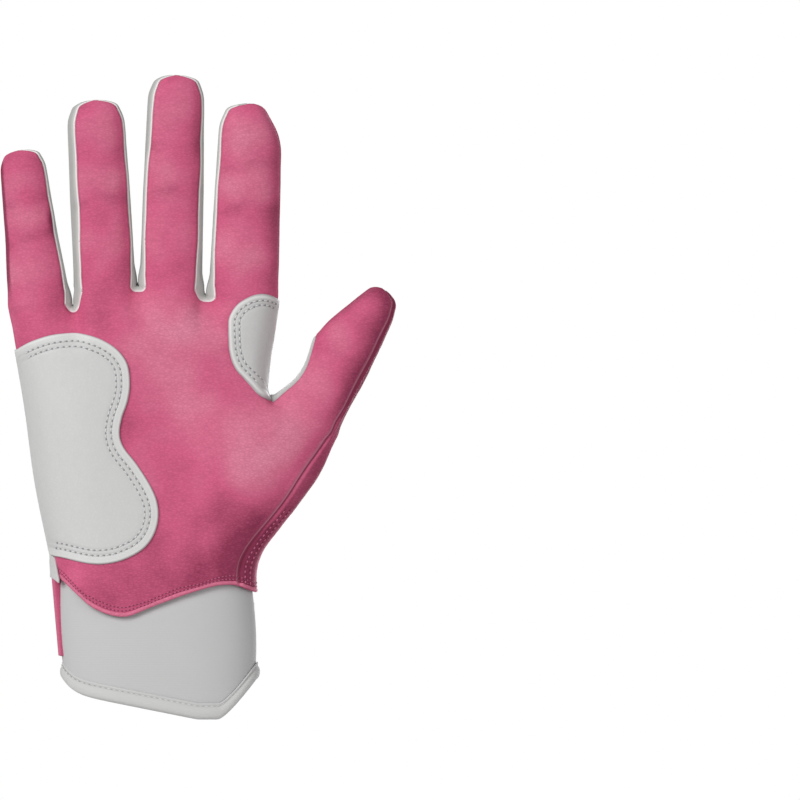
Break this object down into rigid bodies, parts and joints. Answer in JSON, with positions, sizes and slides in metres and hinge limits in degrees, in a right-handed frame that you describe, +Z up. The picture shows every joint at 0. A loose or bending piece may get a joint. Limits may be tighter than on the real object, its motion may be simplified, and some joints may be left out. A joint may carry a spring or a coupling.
{
  "type": "batting glove",
  "caption": "Leather sports glove for the right hand, with palm patches, stretch strips between jointed finger stalls and a cuff closed by a hook-and-loop wrist strap.",
  "frame": {"origin": "middle of the wrist opening, level with the lowest point of the cuff", "axes": "+Z up along the hand to the fingertips, palm faces -Y, thumb on the +X side"},
  "size_m": [0.1497, 0.0429, 0.2446],
  "materials": {
    "palm_leather": "soft pink sheepskin with fine creases",
    "patch_leather": "smooth white leather",
    "stretch_knit": "white stretch knit",
    "cuff_foam": "white foam-backed cloth",
    "strap_web": "pink strap leather",
    "closure_pile": "hook-and-loop pile"
  },
  "bodies": {
    "hand": {"palm_panel": "palm_leather", "back_panel": "palm_leather", "thumb_side_panel": "palm_leather", "fourchette_little_ring": "stretch_knit", "fourchette_ring_middle": "stretch_knit", "fourchette_middle_index": "stretch_knit", "heel_patch": "patch_leather", "web_patch": "patch_leather", "cuff_back_outer": "cuff_foam", "cuff_palm_side": "cuff_foam", "cuff_back_thumb": "cuff_foam", "vent_gusset": "stretch_knit", "cuff_binding": "patch_leather", "strap_anchor": "strap_web", "loop_patch": "closure_pile"},
    "strap": {"wrist_strap": "strap_web", "hook_patch": "closure_pile", "pull_tab": "patch_leather"},
    "little_lower": {"little_front_lower": "palm_leather", "little_back_lower": "palm_leather", "little_thumb_wall_lower": "stretch_knit"},
    "little_upper": {"little_front_upper": "palm_leather", "little_back_upper": "palm_leather", "little_thumb_wall_upper": "stretch_knit"},
    "ring_lower": {"ring_front_lower": "palm_leather", "ring_back_lower": "palm_leather", "ring_thumb_wall_lower": "stretch_knit", "ring_outer_wall_lower": "stretch_knit"},
    "ring_upper": {"ring_front_upper": "palm_leather", "ring_back_upper": "palm_leather", "ring_thumb_wall_upper": "stretch_knit", "ring_outer_wall_upper": "stretch_knit"},
    "middle_lower": {"middle_front_lower": "palm_leather", "middle_back_lower": "palm_leather", "middle_thumb_wall_lower": "stretch_knit", "middle_outer_wall_lower": "stretch_knit"},
    "middle_upper": {"middle_front_upper": "palm_leather", "middle_back_upper": "palm_leather", "middle_thumb_wall_upper": "stretch_knit", "middle_outer_wall_upper": "stretch_knit"},
    "index_lower": {"index_front_lower": "palm_leather", "index_back_lower": "palm_leather", "index_outer_wall_lower": "stretch_knit"},
    "index_upper": {"index_front_upper": "palm_leather", "index_back_upper": "palm_leather", "index_outer_wall_upper": "stretch_knit"},
    "thumb_lower": {"thumb_front_lower": "palm_leather", "thumb_back_lower": "palm_leather", "thumb_web_strip": "patch_leather"},
    "thumb_upper": {"thumb_front_upper": "palm_leather", "thumb_back_upper": "palm_leather"}
  },
  "joints": [
    {"name": "little_base_bend", "type": "hinge", "parent": "hand", "child": "little_lower", "pos_m": [-0.0456, -0.0086, 0.1569], "axis": [0.993, 0, 0.1184], "range_deg": [0, 80]},
    {"name": "little_joint_bend", "type": "hinge", "parent": "little_lower", "child": "little_upper", "pos_m": [-0.0488, -0.00908, 0.18371], "axis": [0.993, 0, 0.1184], "range_deg": [0, 90]},
    {"name": "ring_base_bend", "type": "hinge", "parent": "hand", "child": "ring_lower", "pos_m": [-0.0209, -0.0092, 0.1642], "axis": [0.9985, 0, 0.0541], "range_deg": [0, 80]},
    {"name": "ring_joint_bend", "type": "hinge", "parent": "ring_lower", "child": "ring_upper", "pos_m": [-0.02268, -0.00982, 0.19715], "axis": [0.9985, 0, 0.0541], "range_deg": [0, 90]},
    {"name": "middle_base_bend", "type": "hinge", "parent": "hand", "child": "middle_lower", "pos_m": [0.0041, -0.0095, 0.1642], "axis": [0.9996, 0, -0.0279], "range_deg": [0, 80]},
    {"name": "middle_joint_bend", "type": "hinge", "parent": "middle_lower", "child": "middle_upper", "pos_m": [0.00513, -0.01005, 0.20119], "axis": [0.9996, 0, -0.0279], "range_deg": [0, 90]},
    {"name": "index_base_bend", "type": "hinge", "parent": "hand", "child": "index_lower", "pos_m": [0.0316, -0.0096, 0.16], "axis": [0.9991, 0, -0.0419], "range_deg": [0, 80]},
    {"name": "index_joint_bend", "type": "hinge", "parent": "index_lower", "child": "index_upper", "pos_m": [0.03302, -0.0102, 0.19397], "axis": [0.9991, 0, -0.0419], "range_deg": [0, 90]},
    {"name": "thumb_base_bend", "type": "hinge", "parent": "hand", "child": "thumb_lower", "pos_m": [0.0535, -0.0115, 0.113], "axis": [0.8434, 0, -0.5373], "range_deg": [0, 45]},
    {"name": "thumb_joint_bend", "type": "hinge", "parent": "thumb_lower", "child": "thumb_upper", "pos_m": [0.06908, -0.01147, 0.13746], "axis": [0.8434, 0, -0.5373], "range_deg": [0, 60]},
    {"name": "strap_swing", "type": "hinge", "parent": "hand", "child": "strap", "pos_m": [-0.03726, 0.00756, 0.02375], "axis": [-0.0597, -0.0115, 0.9982], "range_deg": [0, 150]}
  ]
}
